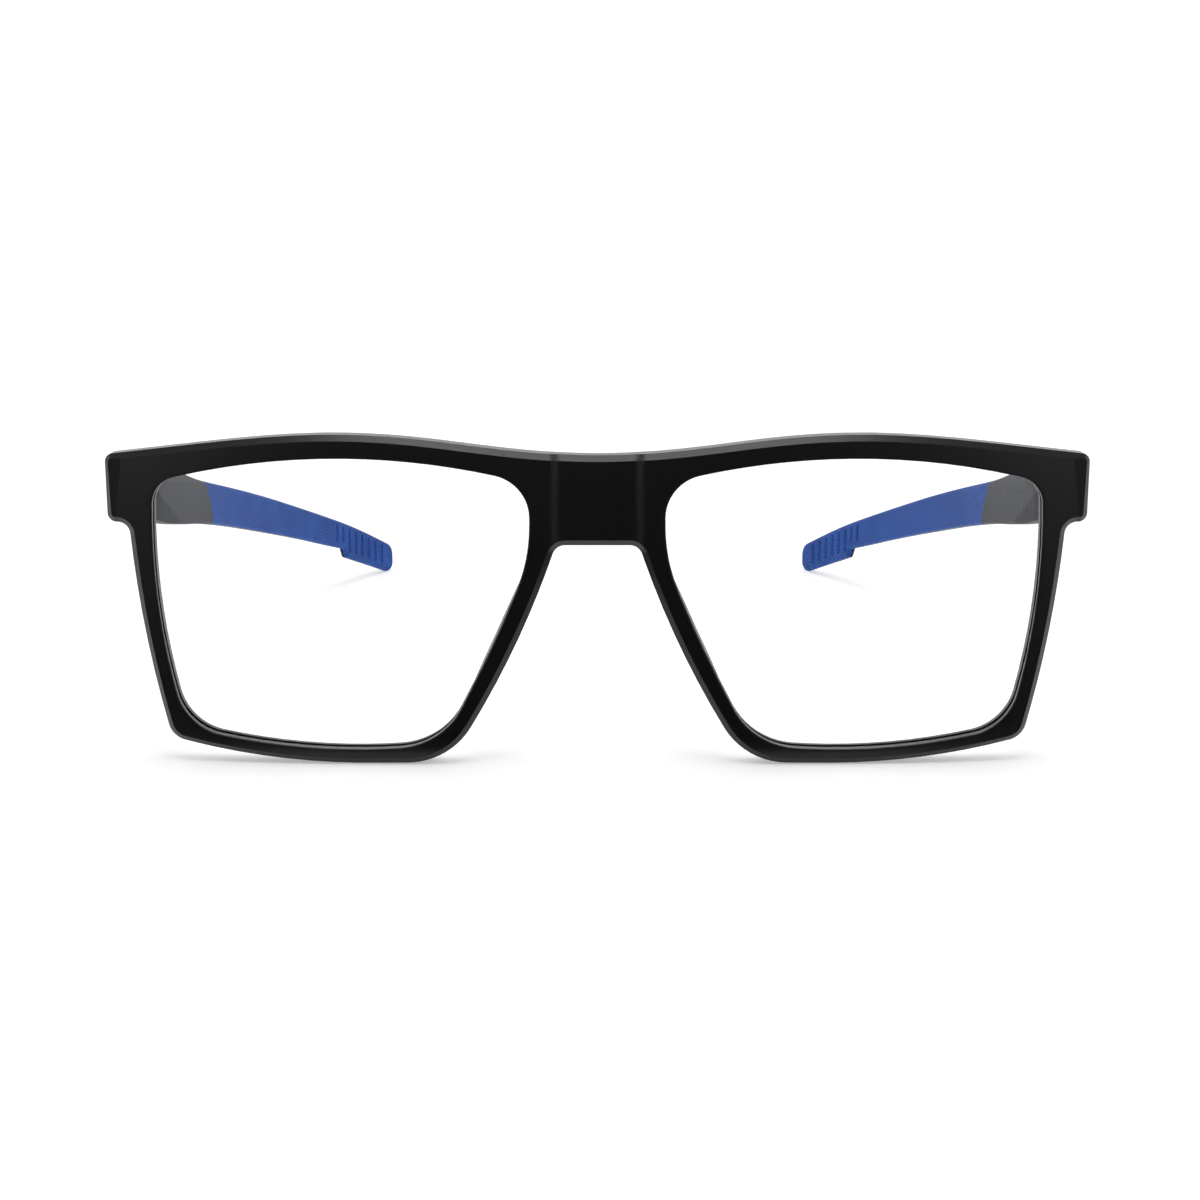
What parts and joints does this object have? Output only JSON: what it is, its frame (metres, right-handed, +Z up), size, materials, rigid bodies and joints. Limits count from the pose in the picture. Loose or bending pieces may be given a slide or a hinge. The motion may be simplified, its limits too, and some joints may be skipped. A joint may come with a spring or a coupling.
{
  "type": "eyeglasses",
  "caption": "Full-rim rectangular glasses with clear blue-light lenses, folding black temples and ribbed blue rubber temple grips.",
  "frame": {"origin": "bottom centre of the bounding box, on the surface that the open glasses stand on, midway between the front of the rims and the ends of the temples", "axes": "+X to the wearer's left (to the right seen from in front), +Y from the lenses back along the temples, +Z up"},
  "size_m": [0.142, 0.147, 0.0486],
  "materials": {
    "frame_plastic": "fine matte moulded black nylon",
    "temple_plastic": "fine matte moulded black nylon",
    "blue_rubber": "soft-touch matte blue overmould",
    "pad_silicone": "satin black silicone",
    "clear_lens": "clear, polished, faint blue-violet coating",
    "hinge_steel": "satin nickel silver",
    "screw_steel": "bright turned steel",
    "core_steel": "drawn spring steel"
  },
  "bodies": {
    "front": {"front_frame": "frame_plastic", "lens_left": "clear_lens", "lens_right": "clear_lens", "nose_pad_left": "pad_silicone", "nose_pad_right": "pad_silicone", "hinge_front_leaf_left": "hinge_steel", "hinge_front_leaf_right": "hinge_steel", "hinge_screw_left": "screw_steel", "hinge_screw_right": "screw_steel", "front_leaf_screws_left": "screw_steel", "front_leaf_screws_right": "screw_steel"},
    "left_temple": {"temple_arm_left": "temple_plastic", "temple_grip_left": "blue_rubber", "temple_core_left": "core_steel", "hinge_temple_leaf_left": "hinge_steel", "temple_leaf_screws_left": "screw_steel"},
    "right_temple": {"temple_arm_right": "temple_plastic", "temple_grip_right": "blue_rubber", "temple_core_right": "core_steel", "hinge_temple_leaf_right": "hinge_steel", "temple_leaf_screws_right": "screw_steel"}
  },
  "joints": [
    {"name": "left_temple_fold", "type": "hinge", "parent": "front", "child": "left_temple", "pos_m": [0.0672, -0.0605, 0.0405], "axis": [0, 0, 1], "range_deg": [0, 82]},
    {"name": "right_temple_fold", "type": "hinge", "parent": "front", "child": "right_temple", "pos_m": [-0.0672, -0.0605, 0.0405], "axis": [0, 0, -1], "range_deg": [0, 77]}
  ]
}
